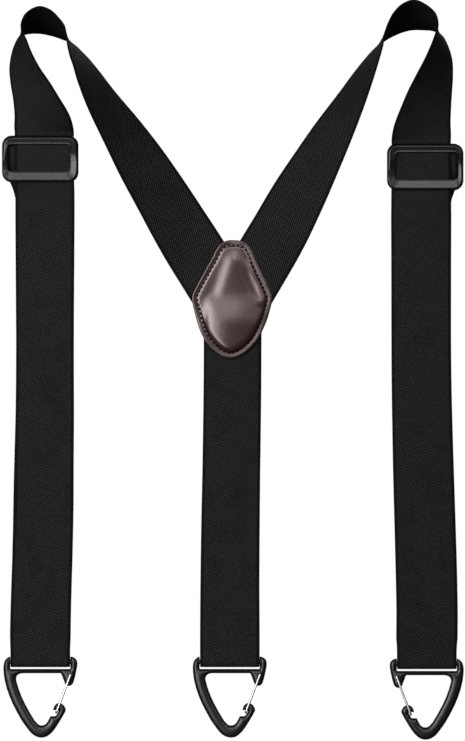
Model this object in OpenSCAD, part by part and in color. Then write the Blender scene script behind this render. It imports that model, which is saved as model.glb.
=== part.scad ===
// Y-back trouser braces: two front webbing straps that pass over the shoulders and one rear strap,
// sewn together under a leather patch, each ending in a moulded hook with a sprung wire gate.
// Millimetres. +Z is up, -Y is the outer side that faces away from the wearer's back, and left is
// -X. The origin is on the back face of the leather backing, near the widest height of the patch.

/* [Webbing] */
// Width of the elastic webbing
webbing_width = 50; // [47:0.5:50.5]
// Thickness of one layer of webbing
webbing_thickness = 1.4; // [1.2:0.1:1.5]
// Steps along each shoulder strap between two stations
strap_steps = 6; // [3:1:8]

/* [Leather patch] */
// Thickness of the leather backing
backing_thickness = 1.5; // [1:0.1:2]
// Thickness of the front leather at its rim
front_leather_thickness = 1.1; // [0.8:0.1:2]
// How far the middle of the front leather stands out from its rim
patch_dome = 1.2; // [0.6:0.1:2]
// Distance of the stitch line from the edge of the patch
stitch_inset = 4.4; // [3.5:0.1:4.8]
// Distance from one stitch to the next
stitch_pitch = 4; // [3:0.5:6]

/* [Strap adjusters] */
// Height of the left adjuster above the origin
left_adjuster_height = 117.3; // [60:0.1:119]
// Height of the right adjuster above the origin
right_adjuster_height = 110.5; // [60:0.1:112]
// Overall width of an adjuster frame
adjuster_width = 65; // [64.5:0.5:68]
// Overall height of an adjuster frame
adjuster_height = 40; // [36:0.5:42]
// Thickness of the adjuster's front ring
adjuster_thickness = 2.8; // [2:0.1:3.5]
// Radius of the hidden middle bar the webbing is sewn round
middle_bar_radius = 1.8; // [1.5:0.1:2]

/* [Hooks] */
// Depth of the left and rear hook bars below the origin
hook_drop = 310.1; // [280:0.1:340]
// How much lower the right hook hangs than the other two
right_hook_extra_drop = 1.7; // [0:0.1:5]
// Thickness of a hook frame
hook_thickness = 5.2; // [4.8:0.1:6]
// Radius of the round bar that the webbing loop turns on
hook_bar_radius = 2.1; // [1.8:0.1:2.2]
// Radius of the wire in the sprung gate
gate_wire_radius = 0.95; // [0.7:0.05:1]

/* [Hidden] */
webbing_colour = [0.12, 0.12, 0.12];
thread_colour = [0.03, 0.03, 0.03];
leather_colour = [0.24, 0.16, 0.14];
plastic_colour = [0.09, 0.09, 0.09];
adjuster_colour = [0.15, 0.13, 0.13];
steel_colour = [0.75, 0.75, 0.73];

layer_gap = 0.1; // between stacked layers
bar_clearance = 0.06; // between a bar and the webbing wrapped round it
seam = 0.05; // between two lengths of the same webbing

// Radii to the middle of the webbing wrapped round a hook bar and round an adjuster bar.
loop_radius = hook_bar_radius + bar_clearance + webbing_thickness / 2;
sewn_radius = middle_bar_radius + bar_clearance + webbing_thickness / 2;

// Depths. Webbing layers are placed by the middle of their thickness.
layer_pitch = webbing_thickness + layer_gap;
rear_y = -backing_thickness - layer_gap - webbing_thickness / 2;
left_y = rear_y - layer_pitch;
right_y = left_y - layer_pitch;
front_leather_y = right_y - webbing_thickness / 2 - layer_gap; // back face of the front leather
hook_y = -4.7; // hook bars
run_y = hook_y - loop_radius; // front layer of each front strap
loop_back_y = hook_y + loop_radius; // back layer where it leaves the hook bar
run_clearance = 0.3; // between the front layer and what lies before or behind it
ring_y = run_y - webbing_thickness / 2 - run_clearance; // back face of an adjuster ring
middle_y = run_y + webbing_thickness + run_clearance + sewn_radius; // hidden middle bar
sewn_y = middle_y + sewn_radius; // back layer where it meets the middle bar

// Strap positions and ends
left_x = -163.5;
right_x = 163.7;
right_hook_x = 165.1; // the right strap leans out a little towards its hook
rear_x = -2.5;
run_offset = 3.4; // each front run sits this far inside the middle of its adjuster
back_offset = 3; // the sewn end sits this far outside the middle of its adjuster
left_run_x = left_x + run_offset;
right_run_x = right_x - run_offset;
left_top_z = 140.5; // where the left front run begins to twist
right_top_z = 133.5;
rear_top_z = -2; // upper end of the rear strap, under the leather
strap_lead = 1.2; // straight start of each shoulder strap
loop_top = 10; // length of webbing above a hook bar that turns with the loop
rear_tail = 38; // sewn tail of the rear loop
rear_loop_top = rear_tail + 8;
sewn_end_drop = 36; // length of the sewn end's back layer below the middle bar
run_ease_z = -150; // the runs ease sideways towards their hooks below this height
rear_ease_z = -56;

window_shift = 0.9; // the adjuster window and middle bar sit this far above the ring's middle
left_bar_z = left_adjuster_height + window_shift;
right_bar_z = right_adjuster_height + window_shift;

left_hook = [left_x, hook_y, -hook_drop];
right_hook = [right_hook_x, hook_y, -hook_drop - right_hook_extra_drop];
rear_hook = [rear_x, hook_y, -hook_drop];

// Webbing width that the shoulder stations are drawn for
station_width = 50;
station_half = station_width / 2;

// Stations of the left shoulder strap from its adjuster to the patch:
// far edge x and z, then near edge x and z, as seen from the outer side.
left_stations = [
  [left_run_x - station_half, left_top_z, left_run_x + station_half, left_top_z],
  [-185.1, 154, -138.6, 154], [-186.2, 167.5, -146.4, 167.5],
  [-188.4, 181, -154.7, 181], [-189.4, 194.5, -164, 194.5],
  [-187.3, 208, -171, 208], [-183.9, 217, -174.5, 217],
  [-180.5, 222, -178.1, 225], [-176.9, 223, -179, 231],
  [-171.4, 224, -174.8, 240], [-163.7, 224, -164.6, 245.7],
  [-156.1, 222.7, -154.8, 243], [-149.3, 220.8, -147.2, 235.8],
  [-143.3, 218.6, -142.4, 229], [-138, 216.5, -140.8, 220],
  [-133, 213, -139.5, 212], [-128, 208, -137.4, 203.2],
  [-123, 203, -135, 196.4], [-113.8, 192, -131, 182.5],
  [-99.8, 174, -122.5, 160], [-78.6, 149, -108.4, 130.2],
  [-58.7, 123.3, -94.6, 101.7], [-40.5, 97.2, -79.7, 73.9],
  [-22.5, 70, -64, 44.6], [-5.9, 44.5, -48.4, 18.1],
  [9.2, 20.2, -33.3, -6.2], [23.7, -3.4, -18.8, -29.8]
];

// The same for the right shoulder strap.
right_stations = [
  [right_run_x + station_half, right_top_z, right_run_x - station_half, right_top_z],
  [185, 147, 137.8, 147], [185.4, 160.5, 143, 160.5],
  [186.2, 174, 148.7, 174], [187, 187.8, 155.7, 187.8],
  [186.4, 201.5, 163, 201.5], [182.6, 214, 168.6, 214],
  [178, 222, 171.8, 222.8], [171.4, 226, 174, 231],
  [162.7, 227, 170.5, 241.5], [152.5, 227, 155.9, 251.1],
  [144, 225, 145.4, 248.8], [136.8, 222, 137.4, 241.6],
  [130.8, 218.8, 132, 232], [125.4, 215, 128.8, 222.4],
  [120.2, 210.4, 127, 212.4], [114.5, 204.3, 123.6, 200],
  [104, 191.4, 118.6, 183.6], [90.3, 173, 111, 161],
  [70.7, 147.4, 100, 132], [53.1, 122.2, 88, 103],
  [35.5, 96, 75.8, 74.7], [19.4, 69, 61.8, 45],
  [4.7, 45, 47.8, 19.5], [-9.7, 20.6, 33.4, -4.9],
  [-23.4, -3.4, 19.7, -29]
];

// Helpers
function unit(v) = v / norm(v);

// Goes smoothly from one value to another as u goes from 0 to 1.
function blend(from, to, u) = from + (to - from) * u * u * (3 - 2 * u);

// The same as z falls from one height to a lower one.
function eased(from, to, high_z, low_z, z) =
  blend(from, to, max(0, min(1, (high_z - z) / (high_z - low_z))));

// Cubic between two points with a slope given at each.
function cubic(start, end, start_slope, end_slope, u) =
  (2 * u * u * u - 3 * u * u + 1) * start + (u * u * u - 2 * u * u + u) * start_slope
  + (3 * u * u - 2 * u * u * u) * end + (u * u * u - u * u) * end_slope;

function running_totals(values, i = 0, sum = 0, totals = []) =
  i == len(values) ? totals
  : running_totals(values, i + 1, sum + values[i], concat(totals, [sum + values[i]]));

// Extrudes an x, z outline from depth y towards the outer side.
module extrude_outward(y, depth)
  translate([0, y, 0]) rotate([90, 0, 0]) linear_extrude(height = depth) children();

module x_bar(radius, length)
  rotate([0, 90, 0]) cylinder(r = radius, h = length, center = true, $fn = 48);

module y_bar(radius, length)
  rotate([90, 0, 0]) cylinder(r = radius, h = length, center = true);

// Ribbons of webbing
ribbon_panels = 4; // panels across a ribbon
run_steps = 16; // steps along a straight run

// A closed ribbon through stations [middle point, direction across].
module ribbon(stations) {
  count = len(stations);
  ring = 2 * (ribbon_panels + 1); // points round one section
  function section_point(middle, across, j) =
    middle + across * webbing_width * (j / ribbon_panels - 0.5);
  points = [for (i = [0 : count - 1])
    let (
      middle = stations[i][0],
      across = stations[i][1],
      along = unit(stations[min(i + 1, count - 1)][0] - stations[max(i - 1, 0)][0]),
      half = unit(cross(along, across)) * webbing_thickness / 2
    )
    each concat(
      [for (j = [0 : ribbon_panels]) section_point(middle, across, j) + half],
      [for (j = [ribbon_panels : -1 : 0]) section_point(middle, across, j) - half])];
  sides = [for (i = [0 : count - 2]) for (j = [0 : ring - 1])
    let (a = i * ring + j, b = i * ring + (j + 1) % ring)
    each [[a, b, b + ring], [a, b + ring, a + ring]]];
  first_end = [for (j = [0 : ribbon_panels - 1])
    each [[j, ring - 1 - j, ring - 2 - j], [j, ring - 2 - j, j + 1]]];
  base = (count - 1) * ring;
  last_end = [for (j = [0 : ribbon_panels - 1]) each [
    [base + j, base + ring - 2 - j, base + ring - 1 - j],
    [base + j, base + j + 1, base + ring - 2 - j]]];
  polyhedron(points = points, faces = concat(sides, first_end, last_end));
}

// One station as middle x and z, then the direction from far edge to near edge. The edges look
// closer together than the webbing is wide where the near edge stands out towards -Y.
function station(edges) =
  let (
    dx = (edges[2] - edges[0]) / station_width,
    dz = (edges[3] - edges[1]) / station_width,
    dy = -sqrt(max(0, 1 - dx * dx - dz * dz))
  )
  [(edges[0] + edges[2]) / 2, (edges[1] + edges[3]) / 2, dx, dy, dz];

// Smooth stations of a shoulder strap: [middle point, direction across the webbing].
// Its far edge goes from the depth of the front run to the strap's depth in the patch.
function shoulder(table, patch_y) =
  let (
    extra_spacing = 3, // keeps stations apart where the middle line hardly moves
    knots = [for (edges = table) station(edges)],
    count = len(knots),
    lengths = running_totals([for (i = [0 : count - 1])
      i == 0 ? 0
      : norm([knots[i][0] - knots[i - 1][0], knots[i][1] - knots[i - 1][1]]) + extra_spacing]),
    slopes = [for (i = [0 : count - 1])
      let (a = max(i - 1, 0), b = min(i + 1, count - 1))
      (knots[b] - knots[a]) / (lengths[b] - lengths[a])],
    settled = lengths[count - 4] // the far edge is at its final depth from here on
  )
  [for (i = [0 : count - 2]) for (k = [0 : strap_steps - (i == count - 2 ? 0 : 1)])
    let (
      u = k / strap_steps,
      span = lengths[i + 1] - lengths[i],
      knot = cubic(knots[i], knots[i + 1], slopes[i] * span, slopes[i + 1] * span, u),
      across = unit([knot[2], min(knot[3], 0), knot[4]]),
      far_y = blend(run_y, patch_y, min(1, (lengths[i] + u * span) / settled))
    )
    [[knot[0], far_y + across[1] * station_half, knot[1]], across]];

// Shoulder strap with a short straight lead where the front run ends.
module shoulder_strap(table, patch_y) {
  stations = shoulder(table, patch_y);
  lead = [stations[0][0] - [0, 0, strap_lead], stations[0][1]];
  ribbon(concat([lead], stations));
}

// A run of webbing that eases sideways below one height and in depth below another.
module run(top, bottom, sideways_from, depth_from)
  ribbon([for (i = [0 : run_steps])
    let (
      z = top[2] + (bottom[2] - top[2]) * i / run_steps,
      x = eased(top[0], bottom[0], sideways_from, bottom[2], z),
      y = eased(top[1], bottom[1], depth_from, bottom[2], z)
    )
    [[x, y, z], [1, 0, 0]]]);

module front_run(x, top_z, hook)
  run([x, run_y, top_z - strap_lead - seam],
    [hook[0], run_y, hook[2] + loop_top + seam], run_ease_z, run_ease_z);

module back_run(x, bar_z, hook)
  run([x, sewn_y, bar_z - sewn_end_drop - seam],
    [hook[0], loop_back_y, hook[2] + loop_top + seam], run_ease_z, 0);

// Loops and sewn ends, drawn as [y, z] paths through the middle of the webbing

// Half a turn about the origin.
function half_turn(radius, start) =
  [for (a = [start : 7.5 : start + 180]) radius * [cos(a), sin(a)]];

// Bends smoothly from one depth to another over a height, leaving out the first point.
function depth_bend(from_y, to_y, start_z, height) =
  [for (u = [0.1 : 0.1 : 1]) [blend(from_y, to_y, u), start_z + height * u]];

// Extrudes a path, given the webbing's thickness, across its width.
module path_webbing(path) {
  last = len(path) - 1;
  half = [for (i = [0 : last])
    let (d = unit(path[min(i + 1, last)] - path[max(i - 1, 0)]))
    [-d[1], d[0]] * webbing_thickness / 2];
  rotate([90, 0, 90]) translate([0, 0, -webbing_width / 2])
    linear_extrude(height = webbing_width) polygon(concat(
      [for (i = [0 : last]) path[i] + half[i]],
      [for (i = [last : -1 : 0]) path[i] - half[i]]));
}

// The webbing loop that turns round a hook bar at the origin.
module plain_loop()
  path_webbing(concat(
    [[-loop_radius, loop_top], [-loop_radius, loop_top / 2]],
    half_turn(loop_radius, 180),
    [[loop_radius, loop_top / 2], [loop_radius, loop_top]]));

// The rear loop, whose free end is sewn back on to its own front layer.
module sewn_loop() {
  tail_y = -loop_radius + webbing_thickness + seam;
  path_webbing(concat(
    [[-loop_radius, rear_loop_top], [-loop_radius, rear_tail / 2]],
    half_turn(loop_radius, 180),
    depth_bend(loop_radius, tail_y, 1, 15),
    [[tail_y, rear_tail]]));
}

middle_bar_rise = 8.4; // the middle bar is flat, this much taller than it is thick

// The upper end of a back run: round the middle bar at the origin and sewn down in front.
// It sits to one side in the adjuster, and below it both layers come in behind the front layer.
module sewn_end(side) {
  tail_y = sewn_radius - webbing_thickness - seam;
  bend_z = -1.8; // where the tail starts to bend back
  path = concat(
    [for (z = [-sewn_end_drop : 3 : -9]) [sewn_radius, z]],
    [for (point = half_turn(sewn_radius, 0)) point + [0, middle_bar_rise]],
    [[-sewn_radius, 0], [-sewn_radius, bend_z]],
    depth_bend(-sewn_radius, tail_y, bend_z, -14),
    [for (z = [-19 : -3 : -31]) [tail_y, z]]);
  ribbon([for (point = path)
    let (x = eased(0, side * (run_offset + back_offset), -9, -33, point[1]))
    [[x, point[0], point[1]], [1, 0, 0]]]);
}

// Two rows of short stitches across the webbing, standing out of a face at y = 0 towards +Y.
tack_stitch = [2.2, 0.4, 0.6];
tack_sunk = 0.15; // depth of a stitch below the face
tack_row_pitch = 7;
tack_margin = 3; // webbing left clear at each edge
tack_side = 8; // stitches on each side of the middle one

module tack_rows() {
  pitch = (webbing_width - 2 * tack_margin) / (2 * tack_side + 1);
  for (row = [0, 1]) for (i = [-tack_side : tack_side])
    translate([i * pitch - tack_stitch[0] / 2, -tack_sunk, -row * tack_row_pitch])
      cube(tack_stitch);
}

// Tack on the back of a sewn end; side is 1 for the left and -1 for the right.
module sewn_end_tack(run_x, bar_z, side)
  translate([run_x - side * 2.4, sewn_y + webbing_thickness / 2, bar_z - 20]) tack_rows();

// Hooks, with the loop bar along X through the origin
slot_half = webbing_width / 2 + 0.75; // half the width of the opening for the webbing
slot_floor = -6.5;
slot_cut_height = 30;
hook_bore_length = 20; // cuts right through the frame
hook_seat = [1.2, -49.5]; // x and z of the round seat
hook_seat_radius = 4.7;
gate_pivot = [26, -10.5]; // x and z of the gate's bore
gate_seat = [13.6, -43.2]; // x and z of its closed end
gate_bend = 2;
gate_bore_clearance = 0.05;
gate_end_y = 0.7; // the bent ends stop this far from the middle of the frame
gate_leg_y = hook_thickness / 2 + 0.12 + gate_wire_radius;

// Layers of the rounded frame edge: inset of the outline, depth below each face.
hook_layers = [[0, 0.9], [0.5, 0.35], [1.1, 0]];

// Outline of a hook frame round its arms, x and z, anticlockwise from the left ear.
hook_outline = [
  [-25.75, 4.4], [-27.2, 3.9], [-28.7, 2.7], [-30.2, 1], [-31.1, -1.8], [-31.4, -4.5], [-31.3, -8],
  [-30.9, -12.1], [-30.3, -15.8], [-28.7, -22.3], [-26.4, -29.1], [-23.5, -35.9], [-20, -42.7],
  [-16.2, -49.5], [-13.9, -52.9], [-11.4, -56.3], [-8.7, -59.7], [-6.4, -61.9], [-3.6, -63.6],
  [-0.5, -64.5], [2, -64.6], [5, -63.9], [7.6, -62.3], [10.4, -59.7], [13, -56.3], [15.2, -52.9],
  [17.3, -49.5], [19.3, -46.1], [21.4, -42.2], [21.7, -41], [21.5, -39.7], [20, -37.1],
  [18.5, -35.8], [16.8, -35], [14.6, -35.3], [13.2, -36.2], [11.9, -37.6], [10.8, -40.6],
  [11.4, -41.2], [13.4, -41.2], [15, -41], [15.4, -42.3], [13.4, -45.7], [12.4, -46.3],
  [8.6, -46.3], [4.6, -52], [3, -53.1], [1.25, -53.5], [-0.6, -53.1],
  [-2.1, -52], [-9.2, -42.7], [-12.9, -35.9], [-16.1, -29.1], [-18.6, -22.3],
  [-20.3, -16.5], [-20.6, -14.2], [-20, -12.2], [-18.7, -10.8], [-16.6, -10], [-14, -9.8],
  [17.4, -9.8], [18.3, -11.5], [21, -18.7], [22, -19.9], [23.5, -20.6], [25.6, -20.4],
  [27.2, -19.3], [28.2, -17.6], [29.6, -12.8], [30.6, -8], [31.3, -4.5], [31.6, -1.5],
  [31.2, 0.8], [30.4, 2.1], [29.2, 3.3], [27.6, 4.1], [25.75, 4.4]
];

module hook_shape(inset) {
  difference() {
    offset(delta = -inset) offset(r = 0.4) offset(delta = -0.4) polygon(hook_outline);
    translate([-slot_half - inset, slot_floor - inset])
      square([2 * (slot_half + inset), slot_cut_height]);
  }
}

module hook_frame() color(plastic_colour) {
  difference() {
    union() {
      for (layer = hook_layers) {
        half = hook_thickness / 2 - layer[1];
        extrude_outward(half, 2 * half) hook_shape(layer[0], $fn = 24);
      }
      x_bar(hook_bar_radius, 2 * slot_half + 2);
    }
    translate([gate_pivot[0], 0, gate_pivot[1]])
      y_bar(gate_wire_radius + gate_bore_clearance, hook_bore_length, $fn = 32);
    // round seat in the bottom of the opening
    translate([hook_seat[0], 0, hook_seat[1]])
      y_bar(hook_seat_radius, hook_bore_length, $fn = 96);
  }
}

// Wire gate: two legs astride the frame, ends bent into the lug's bore, closed end in the notch.
module wire_gate() color(steel_colour) {
  reach = gate_pivot - gate_seat;
  length = norm(reach);
  leg = length - gate_bend;
  radius = gate_wire_radius;
  translate([gate_pivot[0], 0, gate_pivot[1]]) rotate([0, atan2(reach[0], reach[1]), 0]) {
    for (s = [0, 1]) mirror([0, s, 0]) {
      translate([0, gate_leg_y, -leg]) cylinder(r = radius, h = leg, $fn = 32);
      translate([0, gate_leg_y, 0]) sphere(r = radius, $fn = 32);
      translate([0, gate_leg_y, 0]) rotate([90, 0, 0])
        cylinder(r = radius, h = gate_leg_y - gate_end_y, $fn = 32);
      translate([0, gate_leg_y - gate_bend, -leg]) rotate([0, 90, 0])
        rotate_extrude(angle = 90, $fn = 32) translate([gate_bend, 0]) circle(r = radius);
    }
    translate([0, 0, -length]) y_bar(radius, 2 * (gate_leg_y - gate_bend), $fn = 32);
  }
}

// Adjusters, with the ring centred on the Z origin
adjuster_corner = 8;
window_size = [53.4, 23];
window_corner = 2.6;
post_inner_x = webbing_width / 2 + run_offset + 0.4; // inner face of each side post
post_radius = 2.7;
post_gap = 0.1; // the posts together stop this far short of the frame's side
overlap = 1; // how far joined parts run into each other
flat_sunk = 0.05; // flat faces lie this far below the rounds they join
foot_bottom = -8; // foot of each post on the ring
foot_size = [2.4, 19]; // along Y and Z

// Layers of the ring: inset of the outline, distance in front of ring_y, thickness.
adjuster_layers = [
  [0, 0, adjuster_thickness - 0.9],
  [0.4, adjuster_thickness - 0.91, 0.6],
  [1, adjuster_thickness - 0.35, 0.35]
];

module rounded(width, height, corner)
  offset(r = corner, $fn = 48) square([width - 2 * corner, height - 2 * corner], center = true);

module adjuster_plan(inset) difference() {
  rounded(adjuster_width - 2 * inset, adjuster_height - 2 * inset, adjuster_corner - inset);
  translate([0, window_shift])
    rounded(window_size[0] + 2 * inset, window_size[1] + 2 * inset, window_corner + inset);
}

// One side post, centred across its width, from the ring back to the middle bar.
module adjuster_post() {
  width = adjuster_width / 2 - post_inner_x - post_gap;
  for (z = [0, middle_bar_rise]) translate([0, middle_y, z]) x_bar(post_radius, width);
  translate([-width / 2, middle_y - overlap, 0])
    cube([width, overlap + post_radius - flat_sunk, middle_bar_rise]);
  translate([-width / 2, ring_y - overlap, -post_radius])
    cube([width, middle_y - ring_y + overlap, 2 * post_radius + middle_bar_rise]);
  translate([-width / 2, ring_y - overlap, foot_bottom])
    cube([width, foot_size[0], foot_size[1]]);
}

// Front ring, recessed flat middle bar and two side posts.
module adjuster_frame() color(adjuster_colour) {
  bar_length = 2 * (post_inner_x + overlap);
  for (layer = adjuster_layers)
    extrude_outward(ring_y - layer[1], layer[2]) adjuster_plan(layer[0]);
  for (z = [0, middle_bar_rise]) translate([0, middle_y, window_shift + z])
    x_bar(middle_bar_radius, bar_length);
  translate([-bar_length / 2, middle_y - middle_bar_radius + flat_sunk, window_shift])
    cube([bar_length, 2 * (middle_bar_radius - flat_sunk), middle_bar_rise]);
  for (s = [-1, 1]) translate([s * (post_inner_x + adjuster_width / 2) / 2, 0, window_shift])
    adjuster_post();
}

// Leather patch
// Round shapes whose common outline is the patch, anticlockwise from the right: x, z, radius.
patch_rounds = [
  [28.8, 0.3, 5], [0, 32.1, 16.3], [-28.8, 0.3, 5], [-4.5, -30.5, 19], [0, -36, 16], [4.5, -30.5, 19]
];
// Layers of the dome: inset, distance of the back in front of front_leather_y, share of the dome.
dome_layers = [[7, 0.4, 0.45], [8.6, 0.5, 0.8], [10.8, 0.6, 1]];
// Openings in the rim for the left and right shoulder straps: x, z, angle.
rim_openings = [[2.5, -16.6, 31.8], [-1.9, -16.2, -30.2]];
rim_opening_width = webbing_width + 0.8;
rim_opening_reach = 120; // well past the edge of the patch
rim_edge = 0.3; // insets of the outer and inner edges of the rim
rim_inner = 2.4;
patch_stitch = [2.5, 0.5, 0.7];

// Point of the outline that lies furthest out at an angle, moved in by the inset.
function patch_point(angle, inset) =
  let (
    outward = [cos(angle), sin(angle)],
    reach = [for (c = patch_rounds) c[0] * outward[0] + c[1] * outward[1] + c[2]],
    best = max(reach),
    pick = [for (i = [0 : len(reach) - 1]) if (reach[i] > best - 0.0001) i][0],
    c = patch_rounds[pick]
  )
  [c[0], c[1]] + (c[2] - inset) * outward;
function patch_outline(inset) = [for (a = [0 : 4 : 356]) patch_point(a, inset)];

// A slab of leather from one depth to another further out.
module patch_layer(inset, back_y, front_y)
  extrude_outward(back_y, back_y - front_y)
    // deep insets would turn the smaller rounds inside out
    if (inset > 4) offset(delta = -inset) polygon(patch_outline(0));
    else polygon(patch_outline(inset));

module patch_back() color(leather_colour) patch_layer(0, 0, -backing_thickness);

// The rim closes down to the backing wherever no strap passes under it.
module patch_rim_plan() difference() {
  polygon(patch_outline(rim_edge));
  polygon(patch_outline(rim_inner));
  for (opening = rim_openings)
    translate([opening[0], opening[1]]) rotate(opening[2])
      translate([-rim_opening_width / 2, -1]) square([rim_opening_width, rim_opening_reach]);
  translate([-rim_opening_width / 2, -rim_opening_reach])
    square([rim_opening_width, rim_opening_reach + 1 + rear_top_z]);
}

module patch_front() color(leather_colour) {
  back = front_leather_y;
  face = back - front_leather_thickness;
  rim_back = -backing_thickness - seam;
  extrude_outward(rim_back, rim_back - back + 0.2) patch_rim_plan();
  patch_layer(0, back, face + 0.3);
  patch_layer(0.5, back - 0.3, face);
  for (layer = dome_layers)
    patch_layer(layer[0], back - layer[1], face - patch_dome * layer[2]);
}

// Stitches spaced evenly along the rim of the patch.
module patch_stitching() color(thread_colour) {
  path = patch_outline(stitch_inset);
  corners = len(path);
  edges = [for (i = [0 : corners - 1]) path[(i + 1) % corners] - path[i]];
  ends = running_totals([for (edge = edges) norm(edge)]);
  total = ends[corners - 1];
  count = floor(total / stitch_pitch);
  for (k = [0 : count - 1]) {
    distance = total * k / count;
    i = [for (j = [0 : corners - 1]) if (ends[j] > distance) j][0];
    edge = edges[i];
    point = path[i] + edge * (1 - (ends[i] - distance) / norm(edge));
    translate([point[0], front_leather_y - front_leather_thickness - 0.1, point[1]])
      rotate([0, -atan2(edge[1], edge[0]), 0]) cube(patch_stitch, center = true);
  }
}

// Webbing nodes
module left_shoulder_strap() color(webbing_colour) shoulder_strap(left_stations, left_y);
module right_shoulder_strap() color(webbing_colour) shoulder_strap(right_stations, right_y);
module rear_strap() color(webbing_colour)
  run([0, rear_y, rear_top_z], [rear_x, run_y, rear_hook[2] + rear_loop_top + seam],
    rear_ease_z, rear_ease_z);

module left_front_run() color(webbing_colour) front_run(left_run_x, left_top_z, left_hook);
module right_front_run() color(webbing_colour) front_run(right_run_x, right_top_z, right_hook);
module left_back_run() color(webbing_colour) back_run(left_run_x, left_bar_z, left_hook);
module right_back_run() color(webbing_colour) back_run(right_run_x, right_bar_z, right_hook);

module left_loop_fold() color(webbing_colour) translate(left_hook) plain_loop();
module right_loop_fold() color(webbing_colour) translate(right_hook) plain_loop();
module rear_loop_fold() color(webbing_colour) translate(rear_hook) sewn_loop();
module left_sewn_end() color(webbing_colour)
  translate([left_x - back_offset, middle_y, left_bar_z]) sewn_end(1);
module right_sewn_end() color(webbing_colour)
  translate([right_x + back_offset, middle_y, right_bar_z]) sewn_end(-1);

// Tack nodes
module left_sewn_end_tack() color(thread_colour) sewn_end_tack(left_run_x, left_bar_z, 1);
module right_sewn_end_tack() color(thread_colour) sewn_end_tack(right_run_x, right_bar_z, -1);
module rear_loop_tack() color(thread_colour)
  translate([rear_x, run_y + 1.5 * webbing_thickness + seam, rear_hook[2] + rear_tail - 4])
    tack_rows();

// Hardware nodes; the right hook mirrors the other two
module left_adjuster_frame() translate([left_x, 0, left_adjuster_height]) adjuster_frame();
module right_adjuster_frame() translate([right_x, 0, right_adjuster_height]) adjuster_frame();
module left_hook_frame() translate(left_hook) hook_frame();
module left_wire_gate() translate(left_hook) wire_gate();
module right_hook_frame() translate(right_hook) mirror([1, 0, 0]) hook_frame();
module right_wire_gate() translate(right_hook) mirror([1, 0, 0]) wire_gate();
module rear_hook_frame() translate(rear_hook) hook_frame();
module rear_wire_gate() translate(rear_hook) wire_gate();

patch_front();
patch_back();
patch_stitching();
left_shoulder_strap();
right_shoulder_strap();
rear_strap();
left_front_run();
left_loop_fold();
left_back_run();
left_sewn_end();
left_sewn_end_tack();
left_adjuster_frame();
left_hook_frame();
left_wire_gate();
right_front_run();
right_loop_fold();
right_back_run();
right_sewn_end();
right_sewn_end_tack();
right_adjuster_frame();
right_hook_frame();
right_wire_gate();
rear_loop_fold();
rear_loop_tack();
rear_hook_frame();
rear_wire_gate();
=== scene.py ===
"""Elastic webbing braces: two shoulder straps crossing at a leather patch, a rear strap
below it, three hooks with wire gates and two plastic adjusters.

They hang flat in the XZ plane with the front towards -Y. X runs across, Z is up, and the
origin lies at the patch. "left" and "right" are -X and +X. Sizes are in mm unless a
comment says metres; meshes are scaled to metres as they are made.
"""
import bpy, bmesh, math
import numpy as np
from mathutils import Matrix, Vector
from mathutils.geometry import delaunay_2d_cdt


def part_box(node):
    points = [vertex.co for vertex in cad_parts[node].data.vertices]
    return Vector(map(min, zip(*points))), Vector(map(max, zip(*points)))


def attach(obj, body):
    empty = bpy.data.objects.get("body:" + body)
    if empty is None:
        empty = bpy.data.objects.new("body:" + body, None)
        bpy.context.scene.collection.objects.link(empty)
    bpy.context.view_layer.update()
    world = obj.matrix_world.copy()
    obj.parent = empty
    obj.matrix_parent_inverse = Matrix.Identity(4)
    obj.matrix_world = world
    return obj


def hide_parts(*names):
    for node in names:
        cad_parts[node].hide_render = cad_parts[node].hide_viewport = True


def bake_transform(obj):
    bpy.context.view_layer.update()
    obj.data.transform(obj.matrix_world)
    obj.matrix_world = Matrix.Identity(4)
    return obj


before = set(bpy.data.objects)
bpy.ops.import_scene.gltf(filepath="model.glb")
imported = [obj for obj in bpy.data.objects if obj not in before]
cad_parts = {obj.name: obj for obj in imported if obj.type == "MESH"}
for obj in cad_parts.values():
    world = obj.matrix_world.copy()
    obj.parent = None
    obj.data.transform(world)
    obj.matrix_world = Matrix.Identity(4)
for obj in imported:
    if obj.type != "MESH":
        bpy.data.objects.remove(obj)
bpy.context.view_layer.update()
scene = bpy.context.scene
MM = 0.001

# ---------------------------------------------------------------- shared sizes
WEB_T = 1.4                 # webbing thickness
WEB_WIDTH = 50.0            # nominal webbing width
LAYER_GAP = 0.1             # between stacked straps
FOLD_GAP = 0.05             # between the two layers of a sewn end
WRAP_GAP = 0.06             # between webbing and the bar it wraps
HOOK_BAR_R = 2.1
SEWN_BAR_R = 1.8            # the adjuster's middle bar
LOOP_R = HOOK_BAR_R + WRAP_GAP + WEB_T / 2
SEWN_R = SEWN_BAR_R + WRAP_GAP + WEB_T / 2

# depths of the layers, back to front under the patch
REAR_Y = -1.5 - LAYER_GAP - WEB_T / 2
LEFT_Y = REAR_Y - WEB_T - LAYER_GAP
RIGHT_Y = LEFT_Y - WEB_T - LAYER_GAP
CROSSING_Y = {"left": LEFT_Y, "right": RIGHT_Y}
LEATHER_Y = RIGHT_Y - WEB_T / 2 - LAYER_GAP

# depths at the hooks and adjusters
HOOK_Y = -4.7
RUN_Y = HOOK_Y - LOOP_R     # webbing in front of the hook bar
BACK_Y = HOOK_Y + LOOP_R    # webbing behind it
RING_GAP = 0.3
RING_Y = RUN_Y - WEB_T / 2 - RING_GAP
MIDDLE_Y = RUN_Y + WEB_T / 2 + RING_GAP + WEB_T / 2 + SEWN_R
SEWN_Y = MIDDLE_Y + SEWN_R

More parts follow.
